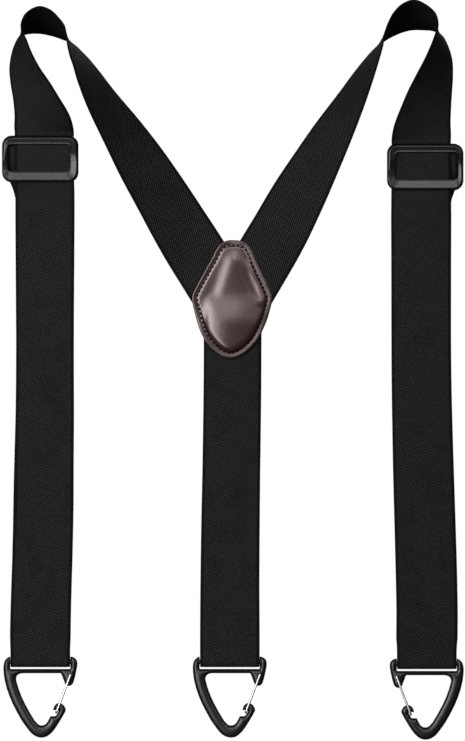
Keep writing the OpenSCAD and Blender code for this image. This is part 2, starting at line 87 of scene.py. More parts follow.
HOOK_X = {"left": -163.5, "rear": -2.5, "right": 165.1}
HOOK_Z = {"left": -310.1, "rear": -310.1, "right": -311.8}
RUN_X = {"left": -160.1, "right": 160.3}
ADJUSTER_X = {"left": -163.5, "right": 163.7}
ADJUSTER_Z = {"left": 117.3, "right": 110.5}
WINDOW_LIFT = 0.9           # the window and middle bar sit this far above the ring's middle
BAR_RISE = 8.4              # height of the flat middle bar between its rounded edges
BAR_Z = {side: z + WINDOW_LIFT for side, z in ADJUSTER_Z.items()}
SEWN_X = {"left": ADJUSTER_X["left"] - 3.0, "right": ADJUSTER_X["right"] + 2.8}
RUN_TOP_Z = {side: z + 0.5 for side, z in ADJUSTER_Z.items()}

# Both edges of each shoulder strap: first edge x, z, second edge x, z.
# The first edge is the outboard one at the adjuster; the last rows lie under the patch.
SHOULDER_STATIONS = {
    "left": [
        (RUN_X["left"] - WEB_WIDTH / 2, 140.5, RUN_X["left"] + WEB_WIDTH / 2, 140.5),
        (-185.1, 154, -138.6, 154), (-186.2, 167.5, -146.4, 167.5), (-188.4, 181, -154.7, 181),
        (-189.4, 194.5, -164, 194.5), (-187.3, 208, -171, 208), (-183.9, 217, -174.5, 217),
        (-180.5, 222, -178.1, 225), (-176.9, 223, -179, 231), (-171.4, 224, -174.8, 240),
        (-163.7, 224, -164.6, 245.7), (-156.1, 222.7, -154.8, 243), (-149.3, 220.8, -147.2, 235.8),
        (-143.3, 218.6, -142.4, 229), (-138, 216.5, -140.8, 220), (-133, 213, -139.5, 212),
        (-128, 208, -137.4, 203.2), (-123, 203, -135, 196.4), (-113.8, 192, -131, 182.5),
        (-99.8, 174, -122.5, 160), (-78.6, 149, -108.4, 130.2), (-58.7, 123.3, -94.6, 101.7),
        (-40.5, 97.2, -79.7, 73.9), (-22.5, 70, -64, 44.6), (-5.9, 44.5, -48.4, 18.1),
        (9.2, 20.2, -33.3, -6.2), (23.7, -3.4, -18.8, -29.8)],
    "right": [
        (RUN_X["right"] + WEB_WIDTH / 2, 133.5, RUN_X["right"] - WEB_WIDTH / 2, 133.5),
        (185, 147, 137.8, 147), (185.4, 160.5, 143, 160.5), (186.2, 174, 148.7, 174),
        (187, 187.8, 155.7, 187.8), (186.4, 201.5, 163, 201.5), (182.6, 214, 168.6, 214),
        (178, 222, 171.8, 222.8), (171.4, 226, 174, 231), (162.7, 227, 170.5, 241.5),
        (152.5, 227, 155.9, 251.1), (144, 225, 145.4, 248.8), (136.8, 222, 137.4, 241.6),
        (130.8, 218.8, 132, 232), (125.4, 215, 128.8, 222.4), (120.2, 210.4, 127, 212.4),
        (114.5, 204.3, 123.6, 200), (104, 191.4, 118.6, 183.6), (90.3, 173, 111, 161),
        (70.7, 147.4, 100, 132), (53.1, 122.2, 88, 103), (35.5, 96, 75.8, 74.7),
        (19.4, 69, 61.8, 45), (4.8, 45, 47.8, 19.6), (-9.6, 20.6, 33.4, -4.9),
        (-23.4, -3.4, 19.7, -29)]}


# ---------------------------------------------------------------- curves and vectors
def unit(vectors):
    vectors = np.asarray(vectors, float)
    return vectors / np.linalg.norm(vectors, axis=-1, keepdims=True)


def smooth01(x):
    x = np.clip(x, 0, 1)
    return x * x * (3 - 2 * x)


def lerp(start, end, share):
    return start + (end - start) * share


def arc(start, end, count):
    """(cosine, sine) at evenly spaced angles given in degrees."""
    angles = [math.radians(a) for a in np.linspace(start, end, count)]
    return [(math.cos(a), math.sin(a)) for a in angles]


def lengths_along(points):
    steps = np.linalg.norm(np.diff(points, axis=0), axis=1)
    return np.concatenate([[0], np.cumsum(steps)])


def tangents(points):
    result = np.zeros_like(points)
    result[1:-1] = points[2:] - points[:-2]
    result[0] = points[1] - points[0]
    result[-1] = points[-1] - points[-2]
    return unit(result)


def resample(loop, step):
    """Evenly spaced points round a closed loop."""
    closed = np.asarray(loop, float)
    closed = np.vstack([closed, closed[:1]])
    lengths = lengths_along(closed)
    count = max(3, int(round(lengths[-1] / step)))
    at = np.linspace(0, lengths[-1], count + 1)[:-1]
    return np.stack([np.interp(at, lengths, closed[:, axis]) for axis in range(2)], 1)


def curve_through(loop, per):
    """Closed centripetal curve through the points, with `per` points to each span."""
    def between(start, end, t_start, t_end, t):
        span = t_end - t_start
        return start * (t_end - t) / span + end * (t - t_start) / span

    loop = np.asarray(loop, float)
    count = len(loop)
    curve = []
    for i in range(count):
        corners = [loop[i - 1], loop[i], loop[(i + 1) % count], loop[(i + 2) % count]]
        knots = [0.0]
        for start, end in zip(corners, corners[1:]):
            knots.append(knots[-1] + max(1e-3, np.linalg.norm(end - start)) ** 0.5)
        for k in range(per):
            t = knots[1] + (knots[2] - knots[1]) * k / per
            points = corners
            for reach in (1, 2):
                points = [between(points[j], points[j + 1], knots[j], knots[j + reach], t)
                          for j in range(len(points) - 1)]
            curve.append(between(points[0], points[1], knots[1], knots[2], t))
    return np.array(curve)


def dense(loop, longest):
    """Splits the sides of a closed loop until none is longer than `longest`."""
    loop = [np.asarray(point, float) for point in loop]
    split = []
    for start, end in zip(loop, loop[1:] + loop[:1]):
        pieces = max(1, int(math.ceil(np.linalg.norm(end - start) / longest)))
        split += [start + (end - start) * j / pieces for j in range(pieces)]
    return split


# ---------------------------------------------------------------- plans in x, z
def grid_points(xs, zs):
    grid_x, grid_z = np.meshgrid(xs, zs)
    return np.stack([grid_x.ravel(), grid_z.ravel()], 1)


def distance(points, loops):
    """Least distance from each point to the closed loops."""
    points = np.asarray(points, float)
    best = np.full(len(points), 1e9)
    for loop in loops:
        side = np.roll(loop, -1, axis=0) - loop
        squared = np.maximum((side * side).sum(1), 1e-12)
        for first in range(0, len(points), 2000):
            block = slice(first, first + 2000)
            offset = points[block][:, None, :] - loop[None]
            along = np.clip((offset * side[None]).sum(2) / squared[None], 0, 1)
            gap = offset - along[..., None] * side[None]
            best[block] = np.minimum(best[block], np.sqrt((gap * gap).sum(2)).min(1))
    return best


def inside(points, loop):
    points = np.asarray(points, float)
    x, z = points[:, 0], points[:, 1]
    odd = np.zeros(len(points), bool)
    for (x0, z0), (x1, z1) in zip(loop, np.roll(loop, -1, axis=0)):
        if z0 != z1:
            odd ^= ((z0 > z) != (z1 > z)) & (x < (x1 - x0) * (z - z0) / (z1 - z0) + x0)
    return odd


def in_plan(points, loops):
    """True inside the first loop and outside the others."""
    found = inside(points, loops[0])
    for hole in loops[1:]:
        found &= ~inside(points, hole)
    return found


def inward_normals(loop):
    tangent = unit(np.roll(loop, -1, 0) - np.roll(loop, 1, 0))
    x, z = loop[:, 0], loop[:, 1]
    area = 0.5 * np.sum(x * np.roll(z, -1) - np.roll(x, -1) * z)
    return np.stack([-tangent[:, 1], tangent[:, 0]], 1) * (1 if area > 0 else -1)


def fill_plan(loops, depths, interior=None):
    """Triangles inside loops[0] and outside the others, with rings of points at the depths."""
    candidates, limits = [], []
    for k, loop in enumerate(loops):
        normal = inward_normals(loop) * (1 if k == 0 else -1)
        for depth in depths:
            ring = (loop + normal * depth)[::1 if depth < 1.2 else 2]
            candidates.append(ring)
            limits.append(np.full(len(ring), depth * 0.93))
    if interior is not None:
        candidates.append(interior)
        limits.append(np.full(len(interior), depths[-1] * 0.9))
    candidates, limits = np.vstack(candidates), np.concatenate(limits)
    kept = in_plan(candidates, loops)
    candidates, limits = candidates[kept], limits[kept]
    candidates = candidates[distance(candidates, loops) >= limits]

    # no more than one added point to a cell
    cell = 0.35
    chosen = {}
    for point in candidates:
        key = (int(math.floor(point[0] / cell)), int(math.floor(point[1] / cell)))
        chosen.setdefault(key, point)
    points = np.vstack(loops + [np.array(list(chosen.values()))])

    edges, first = [], 0
    for loop in loops:
        count = len(loop)
        edges += [(first + i, first + (i + 1) % count) for i in range(count)]
        first += count
    flat = [Vector((float(x), float(z))) for x, z in points]
    filled, _, faces, _, _, _ = delaunay_2d_cdt(flat, edges, [], 0, 1e-5, False)
    filled = np.array([[v.x, v.y] for v in filled])
    middles = np.array([filled[list(face)].mean(0) for face in faces])
    faces = [face for face, good in zip(faces, in_plan(middles, loops)) if good]
    used = sorted({i for face in faces for i in face})
    renumbered = {old: new for new, old in enumerate(used)}
    return filled[used], [[renumbered[i] for i in face] for face in faces]


# ---------------------------------------------------------------- solids
def doubled_area(plan, face):
    (x0, z0), (x1, z1), (x2, z2) = (plan[i] for i in face[:3])
    return (x1 - x0) * (z2 - z0) - (x2 - x0) * (z1 - z0)


def plate(plan, faces, front, back):
    """A closed solid over a plan; front and back are its y at each plan point."""
    if sum(doubled_area(plan, face) for face in faces) < 0:
        faces = [face[::-1] for face in faces]
    count = len(plan)
    verts = [(x, y, z) for depth in (front, back) for (x, z), y in zip(plan, depth)]
    # counter-clockwise in x, z faces -Y
    solid = [list(face) for face in faces] + [[i + count for i in face[::-1]] for face in faces]
    edges = dict.fromkeys(pair for face in faces for pair in zip(face, face[1:] + face[:1]))
    for a, b in edges:
        if (b, a) not in edges:
            solid.append([b, a, a + count, b + count])
    return verts, solid


def loft_faces(rows, columns):
    """Faces joining closed rows of points, with both ends capped."""
    faces = []
    for i in range(rows - 1):
        for j in range(columns):
            a, b = i * columns + j, i * columns + (j + 1) % columns
            faces.append([a, b, b + columns, a + columns])
    faces.append(list(range(columns))[::-1])
    faces.append([(rows - 1) * columns + j for j in range(columns)])
    return faces


def tube(points, radius, segments):
    """A round bar along a path, with flat ends."""
    points = np.asarray(points, float)
    along = tangents(points)
    up = np.array([0.0, 0, 1]) if abs(along[0][2]) < 0.9 else np.array([1.0, 0, 0])
    side = unit(np.cross(along[0], up))
    verts = []
    for point, tangent in zip(points, along):
        side = unit(side - tangent * np.dot(side, tangent))
        other = np.cross(tangent, side)
        for j in range(segments):
            angle = 2 * math.pi * j / segments
            verts.append(point + radius * (side * math.cos(angle) + other * math.sin(angle)))
    return verts, loft_faces(len(points), segments)


def capsule(middle, direction, up, length, r_across, r_up, segments=8, rings=5):
    """A short rounded stitch."""
    middle, along = np.asarray(middle, float), unit(direction)
    side = unit(np.cross(along, up))
    rise = np.cross(side, along)
    verts = []
    for i in range(rings + 1):
        t = -1 + 2 * i / rings
        swell = 0.12 + 0.88 * math.sqrt(max(0.0, 1 - abs(t) ** 3.5))
        for j in range(segments):
            angle = 2 * math.pi * j / segments
            verts.append(middle + along * t * length / 2
                         + side * math.cos(angle) * r_across * swell
                         + rise * math.sin(angle) * r_up * swell)
    return verts, loft_faces(rings + 1, segments)


def gather(parts):
    verts, faces = [], []
    for part_verts, part_faces in parts:
        base = len(verts)
        verts += list(part_verts)
        faces += [[i + base for i in face] for face in part_faces]
    return verts, faces


def placed(parts, side, x, y, z):
    """The parts as one solid moved to x, y, z; the right side is a mirror image."""
    verts, faces = gather(parts)
    mirror = -1 if side == "right" else 1
    verts = [(x + mirror * v[0], y + v[1], z + v[2]) for v in verts]
    return verts, ([face[::-1] for face in faces] if mirror < 0 else faces)


def pillow(d, half, wall, bevel, power=0.5):
    """Half thickness at distance d from the edge: a wall, then a rounded shoulder."""
    x = np.clip(d / bevel, 0, 1)
    return wall + (half - wall) * (1 - (1 - x) ** 2) ** power


def add_mesh(name, verts, faces, material, uvs=None, angle=None):
    """uvs is one (u, v) per vertex, in metres; edges sharper than angle degrees stay sharp."""
    mesh = bpy.data.meshes.new(name)
    mesh.from_pydata([tuple(float(c) * MM for c in v) for v in verts], [],
                     [tuple(int(i) for i in face) for face in faces])
    mesh.update()
    if uvs is not None:
        layer = mesh.uv_layers.new(name="UVMap")
        index = np.zeros(len(mesh.loops), np.int32)
        mesh.loops.foreach_get("vertex_index", index)
        layer.data.foreach_set("uv", np.asarray(uvs, np.float32)[index].ravel())
    mesh.polygons.foreach_set("use_smooth", [True] * len(mesh.polygons))
    mesh.materials.append(material)
    obj = bpy.data.objects.new(name, mesh)
    scene.collection.objects.link(obj)
    if angle is not None:
        mesh.set_sharp_from_angle(angle=math.radians(angle))
    return obj


def turn_faces_outward(mesh):
    bm = bmesh.new()
    bm.from_mesh(mesh)
    bmesh.ops.recalc_face_normals(bm, faces=bm.faces)
    bm.to_mesh(mesh)
    bm.free()


def register(obj, body, piece):
    """The object moves with body and stands in for the CAD piece, which is hidden."""
    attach(obj, body)
    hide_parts(piece)


# ---------------------------------------------------------------- materials
def rgb(r, g, b):
    return (r, g, b, 1.0)


def grey(value):
    return rgb(value, value, value)


class Shader:
    """A Principled material with short names for its nodes. Lengths are in metres."""
    def __init__(self, name):
        self.material = bpy.data.materials.new(name)
        self.material.use_nodes = True
        self.tree = self.material.node_tree
        self.principled = self.tree.nodes["Principled BSDF"]

    def node(self, kind, **settings):
        node = self.tree.nodes.new(kind)
        for key, value in settings.items():
            setattr(node, key, value)
        return node

    def put(self, socket, value):
        if isinstance(value, (int, float, tuple)):
            socket.default_value = value
        else:
            self.tree.links.new(value, socket)

    def uv(self):
        uv_map = self.node("ShaderNodeUVMap", uv_map="UVMap")
        split = self.node("ShaderNodeSeparateXYZ")
        self.put(split.inputs[0], uv_map.outputs[0])
        return split.outputs[0], split.outputs[1]

    def object_coords(self):
        return self.node("ShaderNodeTexCoord").outputs["Object"]

    def math(self, operation, a, b=0.0, c=0.0):
        node = self.node("ShaderNodeMath", operation=operation)
        for socket, value in zip(node.inputs, (a, b, c)):
            self.put(socket, value)
        return node.outputs[0]

    def add(self, a, b):
        return self.math("ADD", a, b)

    def times(self, a, b):
        return self.math("MULTIPLY", a, b)

    def scaled(self, value, by, plus):
        return self.math("MULTIPLY_ADD", value, by, plus)

    def rest(self, share):
        return self.math("SUBTRACT", 1.0, share)

    def sine(self, value, period):
        return self.math("SINE", self.times(value, 2 * math.pi / period))

    def wave(self, value, period):
        """A sine between 0 and 1."""
        return self.scaled(self.sine(value, period), by=0.5, plus=0.5)

    def between(self, share, zero, one, one_scale):
        """zero where share is 0, one times one_scale where share is 1."""
        return self.add(self.times(zero, self.rest(share)),
                        self.times(self.times(one, one_scale), share))

    def ramp(self, value, start, end):
        node = self.node("ShaderNodeMapRange", interpolation_type="SMOOTHSTEP")
        self.put(node.inputs["Value"], value)
        self.put(node.inputs["From Min"], start)
        self.put(node.inputs["From Max"], end)
        return node.outputs["Result"]

    def mix(self, share, zero, one):
        node = self.node("ShaderNodeMix", data_type="RGBA")
        self.put(node.inputs["Factor"], share)
        self.put(node.inputs[6], zero)
        self.put(node.inputs[7], one)
        return node.outputs[2]

    def noise(self, coords, scale, detail=3.0, rough=0.55):
        node = self.node("ShaderNodeTexNoise")
        self.put(node.inputs["Vector"], coords)
        self.put(node.inputs["Scale"], scale)
        self.put(node.inputs["Detail"], detail)
        self.put(node.inputs["Roughness"], rough)
        return node.outputs["Fac"]

    def surface(self, colour, roughness, specular=0.5, metallic=0.0):
        self.put(self.principled.inputs["Base Color"], colour)
        self.put(self.principled.inputs["Roughness"], roughness)
        self.put(self.principled.inputs["Specular IOR Level"], specular)
        self.put(self.principled.inputs["Metallic"], metallic)

    def bump(self, height, strength, depth):
        node = self.node("ShaderNodeBump")
        self.put(node.inputs["Strength"], strength)
        self.put(node.inputs["Distance"], depth)
        self.put(node.inputs["Height"], height)
        self.put(self.principled.inputs["Normal"], node.outputs[0])


def webbing_material():
    """Fine bird's-eye weave on the outer face, plain darker inner face, ribbed selvedges.
    u is metres across from the middle (plus 1 on the inner face), v is metres along."""
    s = Shader("elastic_webbing")
    u_raw, v = s.uv()
    inner = s.math("GREATER_THAN", u_raw, 0.5)
    u = s.math("SUBTRACT", u_raw, inner)
    from_middle = s.math("ABSOLUTE", u)
    # bird's-eye weave: short floats in a checker, with a faint zigzag twill through them
    across = s.sine(u, period=0.00224)
    along = s.sine(v, period=0.00228)
    check = s.scaled(s.times(across, along), by=0.5, plus=0.5)
    zigzag_shift, zigzag_width = 0.0280, 0.0050
    zigzag = s.math("PINGPONG", s.add(u, zigzag_shift), zigzag_width)
    twill = s.wave(s.add(v, zigzag), period=0.00275)
    twill_share, check_share = 0.14, 0.86
    weave = s.scaled(twill, by=twill_share, plus=s.times(check, check_share))
    raised = s.ramp(weave, start=0.49, end=0.61)
    selvedge = s.ramp(from_middle, start=0.0222, end=0.0228)
    rib = s.wave(from_middle, period=0.0009)
    inner_weave = s.wave(v, period=0.0014)
    face = s.between(inner, raised, inner_weave, one_scale=0.4)
    height = s.between(selvedge, face, rib, one_scale=0.35)
    coords = s.object_coords()
    patchy = s.noise(coords, scale=60.0, detail=2.0)
    fuzz = s.noise(coords, scale=2600.0, detail=2.0)
    lift = s.times(s.scaled(patchy, by=0.8, plus=0.6), height)
    outer_colour = s.mix(lift, grey(0.0), rgb(0.0285, 0.0285, 0.0288))
    inner_colour = s.mix(lift, grey(0.0030), grey(0.0085))
    colour = s.mix(inner, outer_colour, inner_colour)
    selvedge_strength, selvedge_colour = 0.45, grey(0.0045)
    colour = s.mix(s.times(selvedge, selvedge_strength), colour, selvedge_colour)
    s.surface(colour, roughness=0.85, specular=0.03)
    fuzz_height = 0.35
    s.bump(s.add(height, s.times(fuzz, fuzz_height)), strength=0.35, depth=0.0002)
    return s.material


def leather_material():
    """Waxed dark brown leather with fine grain and darker edges.
    u is the distance from the edge in metres."""
    s = Shader("waxed_leather")
    from_edge, _ = s.uv()
    coords = s.object_coords()
    cloud = s.noise(coords, scale=55.0)
    fine = s.noise(coords, scale=900.0, detail=4.0, rough=0.6)
    cells = s.node("ShaderNodeTexVoronoi", feature="DISTANCE_TO_EDGE")
    s.put(cells.inputs["Vector"], coords)
    s.put(cells.inputs["Scale"], 950.0)
    grain = s.ramp(cells.outputs["Distance"], start=0.0, end=0.09)
    colour = s.mix(s.ramp(cloud, start=0.3, end=0.75),
                   rgb(0.015, 0.0040, 0.0037), rgb(0.024, 0.0080, 0.0075))
    crease_strength, crease_colour = 0.25, rgb(0.015, 0.009, 0.008)
    colour = s.mix(s.times(s.rest(grain), crease_strength), colour, crease_colour)
    edge_colour = rgb(0.012, 0.007, 0.0065)
    colour = s.mix(s.ramp(from_edge, start=0.0003, end=0.0013), edge_colour, colour)
    s.surface(colour, roughness=s.scaled(fine, by=0.12, plus=0.235), specular=0.79)
    s.put(s.principled.inputs["Specular Tint"], rgb(1.0, 0.85, 0.87))
    grain_height = 0.6
    s.bump(s.add(s.times(grain, grain_height), fine), strength=0.16, depth=0.00012)
    return s.material


def plastic_material(name, dark, light, roughness, specular, bump):
    s = Shader(name)
    coords = s.object_coords()
    cloud = s.noise(coords, scale=120.0)
    fine = s.noise(coords, scale=1400.0, rough=0.6)
    spread = 0.14  # range of the roughness about its middle value
    s.surface(s.mix(s.ramp(cloud, start=0.3, end=0.75), dark, light),
              s.scaled(fine, by=spread, plus=roughness - spread / 2), specular)
    s.bump(fine, strength=bump, depth=0.0001)
    return s.material


def steel_material():
    s = Shader("bright_wire")
    fine = s.noise(s.object_coords(), scale=1800.0)
    s.surface(s.mix(fine, rgb(0.55, 0.54, 0.51), rgb(0.70, 0.69, 0.66)),
              roughness=s.scaled(fine, by=0.15, plus=0.30), metallic=0.95)
    return s.material


def thread_material():
    s = Shader("waxed_thread")
    fine = s.noise(s.object_coords(), scale=2200.0)
    s.surface(s.mix(fine, rgb(0.0010, 0.0009, 0.0009), rgb(0.004, 0.0036, 0.0036)),
              roughness=0.85, specular=0.12)
    s.bump(fine, strength=0.4, depth=0.0001)
    return s.material


WEB = webbing_material()
LEATHER = leather_material()
HOOK_PLASTIC = plastic_material(
    "hook_plastic", dark=rgb(0.0018, 0.0018, 0.0017), light=rgb(0.0032, 0.0032, 0.0030),
    roughness=0.35, specular=0.40, bump=0.10)
ADJUSTER_PLASTIC = plastic_material(
    "adjuster_plastic", dark=rgb(0.0030, 0.0022, 0.0020), light=rgb(0.0052, 0.0036, 0.0030),
    roughness=0.26, specular=0.28, bump=0.03)
STEEL = steel_material()
THREAD = thread_material()


# ---------------------------------------------------------------- webbing
def webbing_section(columns=14):
    """Share of the half width, inset from the edge, height, and 1 on the inner face.
    The faces are flat, with thinner edges and rounded sides."""
    outer = [(u, 0.45 * abs(u) ** 40, WEB_T / 2 - 0.10 * smooth01((abs(u) - 0.86) / 0.08), 0)
             for u in np.linspace(-1, 1, columns + 1)]
    inner = [(u, inset, -height, 1) for u, inset, height, _ in outer[::-1]]
    inset, height = 0.06, 0.30
    return (outer + [(1.0, inset, height, 0), (1.0, inset, -height, 1)]
            + inner + [(-1.0, inset, -height, 1), (-1.0, inset, height, 0)])


def webbing(name, centre, across, widths, outer_sign=1, v_start=0.0, v_sign=1):
    """Sweeps the section along centre; outer_sign picks the side the outer face is on."""
    centre, across = np.asarray(centre, float), unit(across)
    normal = unit(np.cross(tangents(centre), across)) * outer_sign
    lengths = lengths_along(centre)
    section = webbing_section()
    verts, uvs = [], []
    for i in range(len(centre)):
        for share, inset, height, is_inner in section:
            reach = share * widths[i] / 2 - math.copysign(inset, share)
            verts.append(centre[i] + across[i] * reach + normal[i] * height)
            uvs.append((share * WEB_WIDTH / 2 * MM + is_inner,
                        v_start + v_sign * lengths[i] * MM))
    faces = loft_faces(len(centre), len(section))
    if outer_sign < 0:
        faces = [face[::-1] for face in faces]
    strap = add_mesh(name, verts, faces, WEB, uvs)
    mesh = strap.data
    turn_faces_outward(mesh)
    # faces that join the outer and inner face take the outer face's u
    layer = mesh.uv_layers["UVMap"].data
    for face in mesh.polygons:
        us = [layer[i].uv[0] for i in face.loop_indices]
        if max(us) - min(us) > 0.5:
            for i in face.loop_indices:
                if layer[i].uv[0] > 0.5:
                    layer[i].uv[0] -= 1.0
    mesh.set_sharp_from_angle(angle=math.radians(62))
    return strap


def upright_webbing(name, points, width_keys, **options):
    """Webbing whose width lies along X; width_keys are (z, width)."""
    points = np.array(points)
    keys = sorted(width_keys)
    widths = np.interp(points[:, 2], [z for z, _ in keys], [width for _, width in keys])
    return webbing(name, points, np.tile([1.0, 0, 0], (len(points), 1)), widths, **options)


def shoulder_curve(stations, y_from, y_to, steps=8):
    """Smooth centre line and across directions through a station table.
    Where the edges draw closer than the width, the second edge leans towards -Y."""
    rows = []
    for x1, z1, x2, z2 in stations:
        dx, dz = (x2 - x1) / WEB_WIDTH, (z2 - z1) / WEB_WIDTH
        lean = -math.sqrt(max(0, 1 - dx * dx - dz * dz))
        rows.append([(x1 + x2) / 2, (z1 + z2) / 2, dx, lean, dz])
    rows = np.array(rows)
    count = len(rows)
    spans = np.linalg.norm(np.diff(rows[:, :2], axis=0), axis=1) + 3
    at = np.concatenate([[0], np.cumsum(spans)])
    slopes = []
    for i in range(count):
        before, after = max(i - 1, 0), min(i + 1, count - 1)
        slopes.append((rows[after] - rows[before]) / (at[after] - at[before]))
    settled = at[count - 4]  # y_to is reached here
    centre, across = [], []
    for i in range(count - 1):
        span = at[i + 1] - at[i]
        for k in range(steps + (1 if i == count - 2 else 0)):
            u = k / steps
            x, z, dx, lean, dz = (
                (2 * u ** 3 - 3 * u * u + 1) * rows[i]
                + (u ** 3 - 2 * u * u + u) * slopes[i] * span
                + (3 * u * u - 2 * u ** 3) * rows[i + 1]
                + (u ** 3 - u * u) * slopes[i + 1] * span)
            direction = unit([dx, min(lean, 0), dz])
            y = lerp(y_from, y_to, smooth01((at[i] + u * span) / settled))
            centre.append([x, y + direction[1] * WEB_WIDTH / 2, z])
            across.append(direction)
    return np.array(centre), np.array(across)


def heights(z_from, z_to, step=6.0):
    count = int(math.ceil(abs(z_to - z_from) / step))
    return [z_from + (z_to - z_from) * i / count for i in range(count + 1)]


def eased_run(start, end, ease_from):
    """Downward run from start to end that shifts in x and y below z = ease_from."""
    points = []
    for z in heights(start[2], end[2]):
        share = smooth01((ease_from - z) / (ease_from - end[2]))
        points.append([lerp(start[0], end[0], share), lerp(start[1], end[1], share), z])
    return points


def loop_points(x, z):
    """Round a hook bar, from 5 mm above it in front to level with it behind."""
    stretch = 1.38  # the loop hangs lower than a half circle
    return [[x, RUN_Y, z + 5]] + [
        [x, HOOK_Y + LOOP_R * cosine, z + stretch * LOOP_R * sine]
        for cosine, sine in arc(180, 360, 19)]


def sway(side, z):
    """Small sideways waver of a hanging front strap."""
    if side == "left":
        return 0.6 * smooth01((112 - z) / 30) * smooth01((z + 160) / 70)
    return 0.5 * smooth01((-20 - z) / 100) * smooth01((z + 300) / 40)


ADJUSTER_WIDTH = 50.6       # webbing width at the adjusters
FRONT_WIDTHS = {            # z, width
    "left": [(67, 50.5), (33, 50.1), (-36, 49.2), (-88, 49.5), (-156, 50.2), (-224, 51.4),
             (-290, 51.8)],
    "right": [(67, 51.4), (33, 51.1), (-36, 50.9), (-88, 51.2), (-156, 52.0), (-224, 52.4),
              (-290, 52.4)]}
FRONT_EASE_Z = {"left": -150, "right": -60}


def build_shoulder(side):
    """From the adjuster up, over and down to the crossing under the patch."""
    stations = SHOULDER_STATIONS[side]
    centre, across = shoulder_curve(stations, RUN_Y, CROSSING_Y[side])
    lead_z = np.linspace(RUN_TOP_Z[side], stations[0][1], 5)[:-1]
    centre = np.vstack([[[RUN_X[side], RUN_Y, z] for z in lead_z], centre])
    across = np.vstack([[across[0]] * len(lead_z), across])
    strap = webbing(f"{side}_shoulder_webbing", centre, across,
                    np.full(len(centre), ADJUSTER_WIDTH), outer_sign=-1 if side == "left" else 1)
    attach(strap, "harness")
    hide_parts(f"{side}_shoulder_strap")


def build_front_run(side):
    """Front run and the loop round the hook bar, from the harness down to the hook."""
    x, z = HOOK_X[side], HOOK_Z[side]
    top = RUN_TOP_Z[side]
    run = eased_run((RUN_X[side], RUN_Y, top), (x, RUN_Y, z + 10), FRONT_EASE_Z[side])
    points = [[p[0] + sway(side, p[2]), p[1], p[2]] for p in run]
    points += loop_points(x, z) + [[x, BACK_Y, z + 5], [x, BACK_Y, z + 10.02]]
    widths = FRONT_WIDTHS[side] + [(top, ADJUSTER_WIDTH), (-299, 50.9), (-330, 50.6)]
    strap = upright_webbing(f"{side}_front_webbing", points, widths, v_sign=-1)
    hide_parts(f"{side}_front_run", f"{side}_loop_fold")
    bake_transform(strap)


def build_back_run(side):
    """Back run up to the adjuster's middle bar, over it and down to the sewn end."""
    x, z = HOOK_X[side], HOOK_Z[side]
    run_x, sewn_x, bar_z = RUN_X[side], SEWN_X[side], BAR_Z[side]
    fold_y = MIDDLE_Y - SEWN_R
    end_y = SEWN_Y - WEB_T - FOLD_GAP

    def near_bar(y, dz):
        """A point dz above the bar's lower edge, moving outboard as it rises."""
        return [lerp(run_x, sewn_x, smooth01((dz + 36) / 26)), y, bar_z + dz]

    run_z = heights(z + 10, bar_z - 36)
    points = []
    for i, height in enumerate(run_z):
        share = i / (len(run_z) - 1)
        points.append([lerp(x, run_x, smooth01(share * 1.4)) + sway(side, height),
                       lerp(BACK_Y, SEWN_Y, smooth01(share)), height])
    points += [near_bar(SEWN_Y, dz) for dz in range(-33, -8, 3)]
    points += [[sewn_x, SEWN_Y, bar_z + dz] for dz in (-5, 0, BAR_RISE - 1)]
    points += [[sewn_x, MIDDLE_Y + SEWN_R * cosine, bar_z + BAR_RISE + SEWN_R * sine]
               for cosine, sine in arc(0, 180, 19)]
    points += [[sewn_x, fold_y, bar_z + dz] for dz in (BAR_RISE - 1, 3, -1)]
    points += [near_bar(lerp(fold_y, end_y, smooth01(u)), -1 - 14 * u)
               for u in np.linspace(0.1, 1, 10)]
    points += [near_bar(end_y, dz) for dz in (-18, -21, -24, -27, -31.5)]
    widths = [(z, 51.0), (-200, 49.0), (60, 49.4), (92, 49.8), (106, 51.2), (140, 51.2)]
    strap = upright_webbing(f"{side}_back_webbing", points, widths, v_start=0.3)
    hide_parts(f"{side}_back_run", f"{side}_sewn_end")
    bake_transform(strap)


def build_rear():
    """Rear strap from the patch down to its hook, and its sewn loop."""
    x, z = HOOK_X["rear"] + 0.15, HOOK_Z["rear"]
    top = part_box("rear_strap")[1].z / MM
    end_y = RUN_Y + WEB_T + FOLD_GAP
    points = eased_run((0.0, REAR_Y, top), (x, RUN_Y, z + 46), -40)
    points += [[x, RUN_Y, z + dz] for dz in (36, 25, 14)]
    points += loop_points(x, z)
    points += [[x, lerp(BACK_Y, end_y, smooth01(u)), z + 1 + 15 * u]
               for u in np.linspace(0.1, 1, 10)]
    points += [[x, end_y, z + dz] for dz in (27, 38)]
    widths = [(10, 49.8), (-45, 49.2), (-150, 49.4), (-190, 49.9), (-240, 50.3),
              (-290, 50.9), (-300, 50.8), (-330, 50.6)]
    strap = upright_webbing("rear_webbing", points, widths, v_sign=-1)
    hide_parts("rear_strap", "rear_loop_fold")
    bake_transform(strap)


for side in ("left", "right"):
    build_shoulder(side)
    build_front_run(side)
    build_back_run(side)
build_rear()

